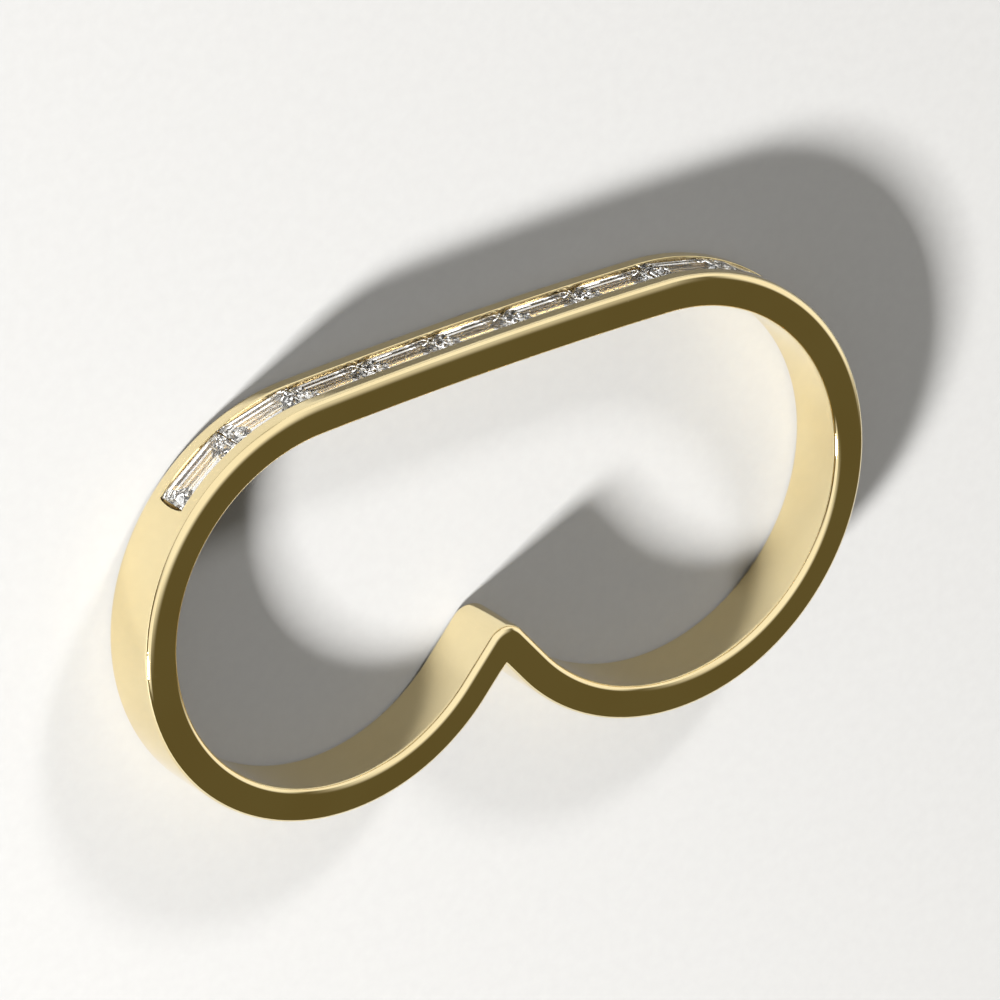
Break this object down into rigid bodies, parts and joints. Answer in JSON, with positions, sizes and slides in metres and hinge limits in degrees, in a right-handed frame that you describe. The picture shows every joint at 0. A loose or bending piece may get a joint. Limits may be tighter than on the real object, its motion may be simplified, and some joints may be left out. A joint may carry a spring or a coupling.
{
  "type": "two-finger ring",
  "caption": "Polished gold ring that spans neighbouring fingers, with a dip between them and a channel-set row of step-cut baguettes along its top bar.",
  "frame": {"origin": "middle of the ring's outline, on the side face that it lies on", "axes": "+Z is the way the fingers go through, up when the ring lies on its side; -Y faces the row of stones; +X points to the smaller finger loop"},
  "size_m": [0.0382, 0.021, 0.0033],
  "materials": {
    "gold": "polished",
    "baguette": "polished"
  },
  "bodies": {
    "root": {"band": "gold", "baguette_1": "baguette", "baguette_2": "baguette", "baguette_3": "baguette", "baguette_4": "baguette", "baguette_5": "baguette", "baguette_6": "baguette", "baguette_7": "baguette", "baguette_8": "baguette", "baguette_9": "baguette"}
  },
  "joints": []
}
